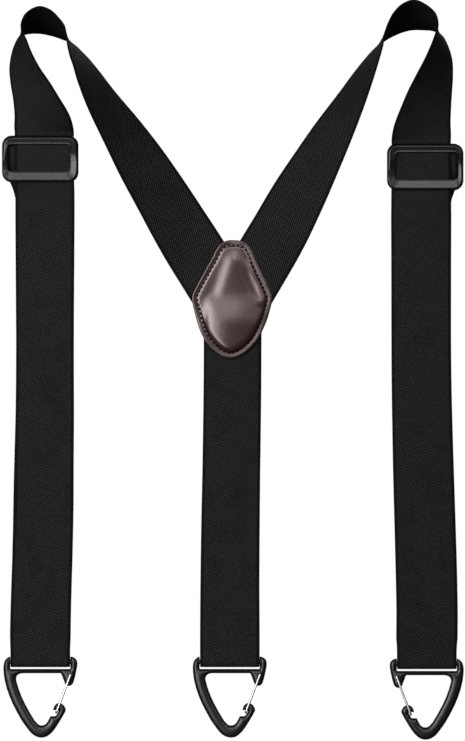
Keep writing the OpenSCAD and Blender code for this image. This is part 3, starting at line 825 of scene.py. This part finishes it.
# ---------------------------------------------------------------- leather patch
# x, z round the patch, clockwise from the top
PATCH_EDGE = [
    (0.8, 48.4), (6, 48), (11, 46.2), (14.4, 42.9), (17, 38.4), (20.2, 30.6), (24.2, 22),
    (28, 14.2), (31.1, 7), (32.8, 3.0), (33.6, -0.8), (33.1, -5.6), (31.6, -11.8),
    (29.3, -19.6), (26.6, -26), (23.6, -32.4), (20.4, -37.6), (16.2, -42.4), (11.4, -46.7),
    (6.4, -49.9), (1.8, -51.7), (-2.2, -52.1), (-7, -51.2), (-11.6, -48.9), (-16.3, -45),
    (-21, -40.2), (-25, -34.4), (-27.5, -29.2), (-29.9, -22.2), (-32.2, -13.5), (-33.9, -6.6),
    (-34.6, -1.2), (-34.2, 2.0), (-32.3, 6.1), (-29.1, 12.4), (-25.2, 19.5), (-21.3, 26.6),
    (-17.3, 33.7), (-14.2, 40), (-10.9, 44.7), (-7.1, 47.2), (-3.3, 48.3)]
STITCH_INSET = 4.4
PATCH_OUTLINE = resample(curve_through(PATCH_EDGE, 6), 0.8)
PATCH_GRID = grid_points(np.arange(-35, 35, 0.75), np.arange(-53, 49.5, 0.75))

# square grid on which the relief is worked out
CELL = 0.5
FIELD_LEFT, FIELD_FOOT = -45, -62
FIELD_X, FIELD_Z = np.meshgrid(np.arange(FIELD_LEFT, 45.01, CELL),
                               np.arange(FIELD_FOOT, 60.01, CELL))
FIELD_POINTS = np.stack([FIELD_X.ravel(), FIELD_Z.ravel()], 1)

# areas of the relief, as x, z corners
WEDGE = [(2.5, 37.5), (-3.5, 33), (-8.5, 18), (-14.5, 0), (-23, -6), (25, -6), (25.0, -4),
         (16.5, 2), (10.5, 20), (7.0, 33)]
BELLY = [(-22.3, -5), (-22.3, -62), (25.5, -62), (25.5, -4)]
LONG_BELLY = [(-22.3, 30), (-22.3, -62), (25.5, -62), (25.5, 30)]
REAR_BAND = [(-25, -3), (-25, -90), (25, -90), (25, -3)]


def covered(polygon):
    """1 on the grid inside the polygon, 0 outside."""
    return inside(FIELD_POINTS, np.asarray(polygon, float)).astype(float).reshape(FIELD_X.shape)


def blurred(field, sigma):
    reach = int(math.ceil(3 * sigma / CELL))
    weights = np.exp(-0.5 * (np.arange(-reach, reach + 1) * CELL / sigma) ** 2)
    weights /= weights.sum()

    def blur_line(line):
        return np.convolve(np.pad(line, reach, mode="edge"), weights, "valid")

    return np.apply_along_axis(blur_line, 1, np.apply_along_axis(blur_line, 0, field))


def sample(field, points):
    """The grid's value at each point, interpolated."""
    row = (points[:, 1] - FIELD_FOOT) / CELL
    column = (points[:, 0] - FIELD_LEFT) / CELL
    i = np.clip(np.floor(row).astype(int), 0, field.shape[0] - 2)
    j = np.clip(np.floor(column).astype(int), 0, field.shape[1] - 2)
    u, v = row - i, column - j
    return (field[i, j] * (1 - u) * (1 - v) + field[i + 1, j] * u * (1 - v)
            + field[i, j + 1] * (1 - u) * v + field[i + 1, j + 1] * u * v)


def patch_relief():
    """Height the leather swells over the straps, on the grid."""
    from_edge = np.where(inside(FIELD_POINTS, PATCH_OUTLINE),
                         distance(FIELD_POINTS, [PATCH_OUTLINE]), 0.0).reshape(FIELD_X.shape)
    inner = (from_edge > 5.0).astype(float)
    crown = np.clip(1.0 - ((FIELD_X + 1.5) / 28.0) ** 2, 0, 1)
    body = np.maximum(covered(WEDGE), covered(BELLY)) * inner
    upper = blurred(body * crown * (1.75 + 0.35 * (1 - smooth01((FIELD_Z + 6) / 30))), 3.1)
    belly_reach = np.where(FIELD_X < -4.0, 24.0, 31.0)
    belly_crown = np.clip(1.0 - ((FIELD_X + 4.0) / belly_reach) ** 2, 0, 1)
    lower = blurred(covered(LONG_BELLY) * inner * (4.2 * belly_crown + 0.4), 1.9)
    share = smooth01((FIELD_Z + 25) / 31)
    field = (0.9 - 0.6 * share) * blurred(inner, 1.5) + upper * share + lower * (1 - share)
    # the right wing rises to the rim
    field += (1.5 * (1 - smooth01((from_edge - 5.5) / 9)) * smooth01((FIELD_X - 2) / 6)
              * smooth01((FIELD_Z + 9) / 6) * smooth01((34 - FIELD_Z) / 16) * inner)
    return blurred(field, 1.1)


def strap_band(station, reach_x, reach_z):
    """Corners of a strap from its last station, carried on by the reach."""
    left, right = sorted([station[:2], station[2:]])
    return [left, right, (right[0] + reach_x, right[1] + reach_z),
            (left[0] + reach_x, left[1] + reach_z)]


def patch_dips():
    """Depth the leather sinks towards the backing where no strap lies under it."""
    bands = np.maximum.reduce([
        covered(strap_band(SHOULDER_STATIONS["left"][-1], -60, 97)),
        covered(strap_band(SHOULDER_STATIONS["right"][-1], 58, 100)),
        covered(REAR_BAND)])
    near = blurred(bands, 2.6) > 0.05
    return blurred(1.7 * (1 - near), 2.8)


def build_patch_front():
    """Returns the plan points and their front y, for the stitches."""
    plan, faces = fill_plan([PATCH_OUTLINE], [0.25, 0.6, 1.1, 1.8, 2.6, 3.4, 4.0, 4.4, 4.8, 5.4],
                            PATCH_GRID)
    d = distance(plan, [PATCH_OUTLINE])
    height = sample(patch_relief(), plan) * smooth01((d - 4.5) / 1.6)
    # a flat flange outside the stitches, leaning in towards them
    flange = 0.34 * smooth01((d - 0.9) / 3.2) * (1 - smooth01((d - 4.5) / 1.4))
    drop = sample(patch_dips(), plan) * (1 - smooth01((d - 1.5) / 11))
    rim = pillow(d, half=1.2, wall=0.5, bevel=1.0)
    front = LEATHER_Y + 0.1 - rim - height + flange + drop
    verts, solid = plate(plan, faces, front, LEATHER_Y + 0.05 + drop)
    uvs = [(float(x) * MM, 0.0) for x in d] + [(0.004, 0.5)] * len(plan)
    leather = add_mesh("leather_patch_front", verts, solid, LEATHER, uvs)
    register(leather, "harness", "patch_front")
    return plan, front


def build_patch_backing():
    plan, faces = fill_plan([PATCH_OUTLINE], [0.3, 0.8, 1.6, 3.0, 4.4, 6.0], PATCH_GRID[::3])
    d = distance(plan, [PATCH_OUTLINE])
    middle_y = -0.75
    half = pillow(d, half=0.75, wall=0.35, bevel=1.2)
    groove = 0.10 * np.exp(-((d - STITCH_INSET) / 0.7) ** 2)
    verts, solid = plate(plan, faces, middle_y - half, middle_y + half - groove)
    uvs = [(float(x) * MM, 0.0) for x in d] * 2
    backing = add_mesh("leather_patch_backing", verts, solid, LEATHER, uvs)
    register(backing, "harness", "patch_back")


def value_near(points, values, place):
    """Weighted mean of the values at the four nearest points."""
    nearest = np.argsort(((points - place) ** 2).sum(1))[:4]
    weights = 1 / (0.05 + np.linalg.norm(points[nearest] - place, axis=1))
    return float((values[nearest] * weights).sum() / weights.sum())


def build_patch_stitches(plan, front):
    """A stitch on the front and one on the back at each step round the patch."""
    path = resample(PATCH_OUTLINE + inward_normals(PATCH_OUTLINE) * STITCH_INSET, 3.95)
    parts = []
    for i, (x, z) in enumerate(path):
        dx, dz = path[(i + 1) % len(path)] - path[i - 1]
        y = value_near(plan, front, path[i]) - 0.24
        parts.append(capsule((x, y, z), (dx, 0, dz), (0, -1, 0),
                             length=2.35, r_across=0.72, r_up=0.45))
        parts.append(capsule((x, 0.02, z), (dx, 0, dz), (0, 1, 0),
                             length=2.55, r_across=0.45, r_up=0.28))
    stitches = add_mesh("patch_stitches", *gather(parts), THREAD)
    register(stitches, "harness", "patch_stitching")


def build_tack(name, body, piece, x, y, z):
    """A stitched box on the back of a sewn end: two rows of 17, two stitches at each side."""
    row_width, row_gap, count = 44.4, 7, 17
    y += 0.06
    shape = dict(up=(0, 1, 0), r_across=0.34, r_up=0.24, segments=6, rings=4)
    parts = []
    for row in range(2):
        for i in range(count):
            place = (x - row_width / 2 + i * row_width / (count - 1), y, z - row * row_gap)
            parts.append(capsule(place, (1, 0, 0), length=2.1, **shape))
    for hand in (-1, 1):
        for i in range(2):
            place = (x + hand * 22.6, y, z - 1.9 - i * 3.1)
            parts.append(capsule(place, (0, 0, 1), length=2.4, **shape))
    stitches = add_mesh(name, *gather(parts), THREAD)
    register(stitches, body, piece)


patch_plan, patch_front = build_patch_front()
build_patch_backing()
build_patch_stitches(patch_plan, patch_front)
build_tack("rear_loop_stitches", "rear_hook_loop", "rear_loop_tack",
           HOOK_X["rear"], RUN_Y + 1.5 * WEB_T + FOLD_GAP, HOOK_Z["rear"] + 34)
for side in ("left", "right"):
    build_tack(f"{side}_sewn_end_stitches", f"{side}_adjuster", f"{side}_sewn_end_tack",
               lerp(RUN_X[side], SEWN_X[side], 0.35), SEWN_Y + WEB_T / 2, BAR_Z[side] - 20)

# ---------------------------------------------------------------- hooks
# x, z from the middle of the bar: the hook's edge, from its top left corner down round
# the outside of the curl, back along the inside and up to the top right corner
HOOK_OUTLINE = [
    (-27.2, 3.9), (-28.7, 2.7), (-30.2, 1), (-31.1, -1.8), (-31.4, -4.5), (-31.3, -8),
    (-30.9, -12.1), (-30.3, -15.8), (-28.7, -22.3), (-26.4, -29.1), (-23.5, -35.9),
    (-20, -42.7), (-16.2, -49.5), (-13.9, -52.9), (-11.4, -56.3), (-8.7, -59.7), (-6.4, -61.9),
    (-3.6, -63.6), (-0.5, -64.5), (2, -64.6), (5, -63.9), (7.6, -62.3), (10.4, -59.7),
    (13, -56.3), (15.2, -52.9), (17.3, -49.5), (19.3, -46.1), (21.4, -42.2), (21.7, -41),
    (21.5, -39.7), (20, -37.1), (18.5, -35.8), (16.8, -35), (14.6, -35.3), (13.2, -36.2),
    (11.9, -37.6), (10.8, -40.6), (11.4, -41.2), (13.4, -41.2), (15, -41), (15.4, -42.3),
    (13.4, -45.7), (12.4, -46.3), (8.6, -46.3), (7.1, -49.3), (6, -51.3), (4.9, -52.7),
    (3.2, -53.8), (1.25, -54.2), (-0.8, -53.8), (-2.2, -52.8), (-4.8, -50), (-9.2, -42.7),
    (-12.9, -35.9), (-16.1, -29.1), (-18.6, -22.3), (-20.3, -16.5), (-20.6, -14.2),
    (-20, -12.2), (-18.7, -10.8), (-16.6, -10), (-14, -9.8), (17.4, -9.8), (18.3, -11.5),
    (21, -18.7), (22, -19.9), (23.5, -20.6), (25.6, -20.4), (27.2, -19.3), (28.2, -17.6),
    (29.6, -12.8), (30.6, -8), (31.3, -4.5), (31.6, -1.5), (31.2, 0.8), (30.4, 2.1),
    (29.2, 3.3), (27.6, 4.1)]
# the notch the bar crosses, open at the top
HOOK_NOTCH = [(25.55, 4.4), (25.55, 3.4), (25.55, -5.5), (25.0, -6.15),
              (-25.0, -6.15), (-25.55, -5.5), (-25.55, 3.4), (-25.55, 4.4)]
HOOK_THICKNESS = 5.2
GATE_PIVOT, GATE_SEAT = np.array([26, -10.5]), np.array([13.6, -43.2])
GATE_R = 0.95
GATE_Y = HOOK_THICKNESS / 2 + 0.12 + GATE_R


def hook_body():
    loop = resample(curve_through(dense(HOOK_OUTLINE + HOOK_NOTCH, 1.6), 3), 0.62)
    plan, faces = fill_plan([loop], [0.14, 0.36, 0.68, 1.1, 1.6, 2.2, 2.9],
                            grid_points(np.arange(-32, 32.5, 0.9), np.arange(-65, 5, 0.9)))
    d = distance(plan, [loop])
    # a wall, a steep bevel, then a gentle crown
    wall, bevel = 0.35, 1.6
    crown = HOOK_THICKNESS / 2 - wall - bevel
    half = (wall + bevel * np.clip(d / 1.7, 0, 1) ** 0.9
            + crown * (1 - (1 - np.clip((d - 1.5) / 3.8, 0, 1)) ** 2))
    return plate(plan, faces, -half, half)


def gate_wire():
    """A closed-ended U of wire: through the pivot, along both faces and round the seat."""
    direction = unit(GATE_SEAT - GATE_PIVOT)
    length = float(np.linalg.norm(GATE_SEAT - GATE_PIVOT))
    pivot_bend, seat_bend = 1.3, 2

    def on(along, y):
        x, z = GATE_PIVOT + direction * along
        return (x, y, z)

    half = [on(0, 1.2), on(0, GATE_Y - 1.6)]
    half += [on(pivot_bend * (1 - cosine), GATE_Y - pivot_bend + pivot_bend * sine)
             for cosine, sine in arc(10, 90, 7)]
    half += [on(along, GATE_Y) for along in (length * 0.3, length * 0.6, length - 2.2)]
    half += [on(length - seat_bend + seat_bend * sine, GATE_Y - seat_bend + seat_bend * cosine)
             for cosine, sine in arc(8, 90, 8)]
    return tube(half + [(x, -y, z) for x, y, z in half[::-1]], GATE_R, 20)


body = hook_body()
bar = tube([(x, 0, 0) for x in (-26.6, -25, 0, 25, 26.6)], HOOK_BAR_R, 28)
gate = gate_wire()
for side in ("left", "rear", "right"):
    place = (side, HOOK_X[side], HOOK_Y, HOOK_Z[side])
    hook = add_mesh(f"{side}_hook_body", *placed([body, bar], *place), HOOK_PLASTIC, angle=50)
    register(hook, f"{side}_hook", f"{side}_hook_frame")
    wire = add_mesh(f"{side}_gate_wire", *placed([gate], *place), STEEL)
    register(wire, f"{side}_gate", f"{side}_wire_gate")


# ---------------------------------------------------------------- adjusters
def rounded_rect(width, height, radius, x=0.0, z=0.0):
    points = []
    for hand_x, hand_z, start in ((1, 1, 0), (-1, 1, 90), (-1, -1, 180), (1, -1, 270)):
        for cosine, sine in arc(start, start + 90, 13):
            points.append((x + hand_x * (width / 2 - radius) + radius * cosine,
                           z + hand_z * (height / 2 - radius) + radius * sine))
    return resample(points, 0.8)


def adjuster_ring():
    outer = rounded_rect(65, 40, 8.6)
    window = rounded_rect(53.0, 22.6, 3.0, -1.3, WINDOW_LIFT)
    plan, faces = fill_plan([outer, window], [0.2, 0.5, 0.8, 1.1, 1.45, 1.9, 2.4, 2.9, 3.5])
    d_out, d_in = distance(plan, [outer]), distance(plan, [window])
    z = plan[:, 1]
    # the face is dished towards the window, more so towards the foot
    thick = 2.75
    dish = 0.12 + 1.25 * smooth01((6.5 - z) / 9.0)
    face = thick - dish * smooth01(d_out / (d_out + d_in + 1e-6))
    # rolled outer edge, and a lip round the upper part of the window
    front = np.minimum(face, pillow(d_out, half=thick, wall=0.45, bevel=2.9, power=0.75))
    lip = 0.20 * smooth01((1.65 - d_in) / 0.75) * smooth01((z - 6) / 5)
    front = np.minimum(front + lip, pillow(d_in, half=3.1, wall=0.6, bevel=0.7, power=0.6))
    front = np.maximum(front, 0.45)
    return plate(plan, faces, RING_Y - front, np.full(len(plan), RING_Y))


def middle_bar():
    """A flat upright bar with rounded top and bottom edges."""
    section = [(SEWN_BAR_R * cosine, BAR_RISE + SEWN_BAR_R * sine)
               for cosine, sine in arc(0, 180, 13)]
    section += [(SEWN_BAR_R * cosine, SEWN_BAR_R * sine) for cosine, sine in arc(180, 360, 13)]
    verts = [(x, MIDDLE_Y + y, WINDOW_LIFT + z) for x in (-29.6, 29.6) for y, z in section]
    return verts, loft_faces(2, len(section))


def side_post(hand):
    """From the back of the ring to a rounded end round the middle bar; hand is -1 or 1."""
    end_r = 2.8
    profile = [(RING_Y - 0.4, 8), (RING_Y + 0.8, 8)]  # y, z
    for y, z in ((RING_Y + 2.0, 6.2), (MIDDLE_Y - 2.0, 3.6)):
        profile.append((y, z + BAR_RISE * smooth01((y - RING_Y) / 4)))
    profile.append((MIDDLE_Y, end_r + BAR_RISE))
    profile += [(MIDDLE_Y + end_r * sine, BAR_RISE + end_r * cosine)
                for cosine, sine in arc(12, 90, 7)]
    profile += [(MIDDLE_Y + end_r * sine, end_r * cosine) for cosine, sine in arc(90, 180, 8)]
    profile += [(MIDDLE_Y - 2.0, -3.6), (RING_Y + 2.0, -6.2), (RING_Y + 0.8, -8),
                (RING_Y - 0.4, -8)]
    x0, x1 = sorted((hand * 28.8, hand * 32.2))
    centre_y = np.mean([y for y, _ in profile])
    rows = [(x0, 0.35), (x0 + 0.3, 0.0), (x1 - 0.5, 0.0), (x1, 0.55)]  # x, edge inset
    verts = []
    for x, inset in rows:
        shrink = inset / 6.0
        verts += [(x, lerp(y, centre_y, shrink), WINDOW_LIFT + z * (1 - shrink))
                  for y, z in profile]
    return verts, loft_faces(len(rows), len(profile))


adjuster_parts = [adjuster_ring(), middle_bar(), side_post(-1), side_post(1)]
for side in ("left", "right"):
    solid = placed(adjuster_parts, side, ADJUSTER_X[side], 0, ADJUSTER_Z[side])
    adjuster = add_mesh(f"{side}_adjuster", *solid, ADJUSTER_PLASTIC, angle=42)
    turn_faces_outward(adjuster.data)
    register(adjuster, f"{side}_adjuster", f"{side}_adjuster_frame")


# ---------------------------------------------------------------- stage, in metres
def floor_material():
    """Bright and glowing to the camera, dark to all other rays."""
    s = Shader("studio_floor")
    camera_ray = s.node("ShaderNodeLightPath").outputs["Is Camera Ray"]
    s.surface(s.mix(camera_ray, grey(0.10), grey(0.86)), roughness=0.7)
    s.put(s.principled.inputs["Emission Color"], grey(1))
    glow_strength = 0.42
    glow = s.node("ShaderNodeMath", operation="MULTIPLY")
    s.put(glow.inputs[0], camera_ray)
    s.put(glow.inputs[1], glow_strength)
    s.put(s.principled.inputs["Emission Strength"], glow.outputs[0])
    return s.material


def build_floor(radius_x=2.6, radius_y=2.0, middle_y=-0.2, floor_z=-0.85, corners=64):
    material = floor_material()
    mesh = bpy.data.meshes.new("studio_floor")
    angles = [2 * math.pi * i / corners for i in range(corners)]
    mesh.from_pydata([(radius_x * math.cos(a), radius_y * math.sin(a) + middle_y, floor_z)
                      for a in angles], [], [list(range(corners))])
    mesh.materials.append(material)
    floor = bpy.data.objects.new("studio_floor", mesh)
    scene.collection.objects.link(floor)


def build_world(seen_strength, lit_strength):
    """White to the camera, dim white light to everything else."""
    world = bpy.data.worlds.new("studio") if scene.world is None else scene.world
    scene.world = world
    world.use_nodes = True
    nodes, links = world.node_tree.nodes, world.node_tree.links
    nodes.clear()
    output = nodes.new("ShaderNodeOutputWorld")
    mixer = nodes.new("ShaderNodeMixShader")
    seen = nodes.new("ShaderNodeBackground")
    lit = nodes.new("ShaderNodeBackground")
    ray = nodes.new("ShaderNodeLightPath")
    for background, strength in ((seen, seen_strength), (lit, lit_strength)):
        background.inputs["Color"].default_value = grey(1)
        background.inputs["Strength"].default_value = strength
    links.new(ray.outputs["Is Camera Ray"], mixer.inputs[0])
    links.new(lit.outputs[0], mixer.inputs[1])
    links.new(seen.outputs[0], mixer.inputs[2])
    links.new(mixer.outputs[0], output.inputs[0])


def softbox(name, at, target, width, height, watts):
    light = bpy.data.lights.new(name, "AREA")
    light.shape = "RECTANGLE"
    light.size, light.size_y = width, height
    light.energy = watts
    obj = bpy.data.objects.new(name, light)
    obj.location = at
    obj.rotation_mode = "QUATERNION"
    obj.rotation_quaternion = (Vector(target) - Vector(at)).to_track_quat("-Z", "Y")
    obj.visible_camera = False
    scene.collection.objects.link(obj)


def build_camera(distance_back, view_width, sensor=36.0):
    """A long lens square on to the front; view_width is what it spans at the braces."""
    data = bpy.data.cameras.new("camera")
    camera = bpy.data.objects.new("camera", data)
    scene.collection.objects.link(camera)
    scene.camera = camera
    data.sensor_width = sensor
    data.lens = sensor * distance_back / view_width
    data.clip_start, data.clip_end = 0.5, 60.0
    camera.location = (-0.0001, -0.008 - distance_back, -0.0625)
    camera.rotation_mode = "QUATERNION"
    camera.rotation_quaternion = Vector((0, 1, 0)).to_track_quat("-Z", "Y")


build_floor()
build_world(seen_strength=1.0, lit_strength=0.07)
softbox("key_left", at=(-1.12, -1.64, 0.30), target=(0, 0, 0.0),
        width=1.15, height=1.05, watts=39)
softbox("fill_right", at=(1.05, -1.6, 0.75), target=(0, 0, 0.0),
        width=0.6, height=0.6, watts=10)
softbox("front", at=(0.05, -2.6, 1.05), target=(0, 0, -0.05),
        width=0.8, height=0.5, watts=14)
softbox("low_left", at=(-0.72, -1.62, -0.44), target=(0, 0, -0.25),
        width=0.45, height=0.32, watts=7)
softbox("back_top", at=(0.3, 1.7, 1.2), target=(0, 0, 0),
        width=1.4, height=0.9, watts=26)
build_camera(distance_back=12.0, view_width=0.62985)
scene.view_settings.view_transform = "Standard"
scene.view_settings.look = "None"
scene.view_settings.exposure = 0.0
scene.view_settings.gamma = 1.0
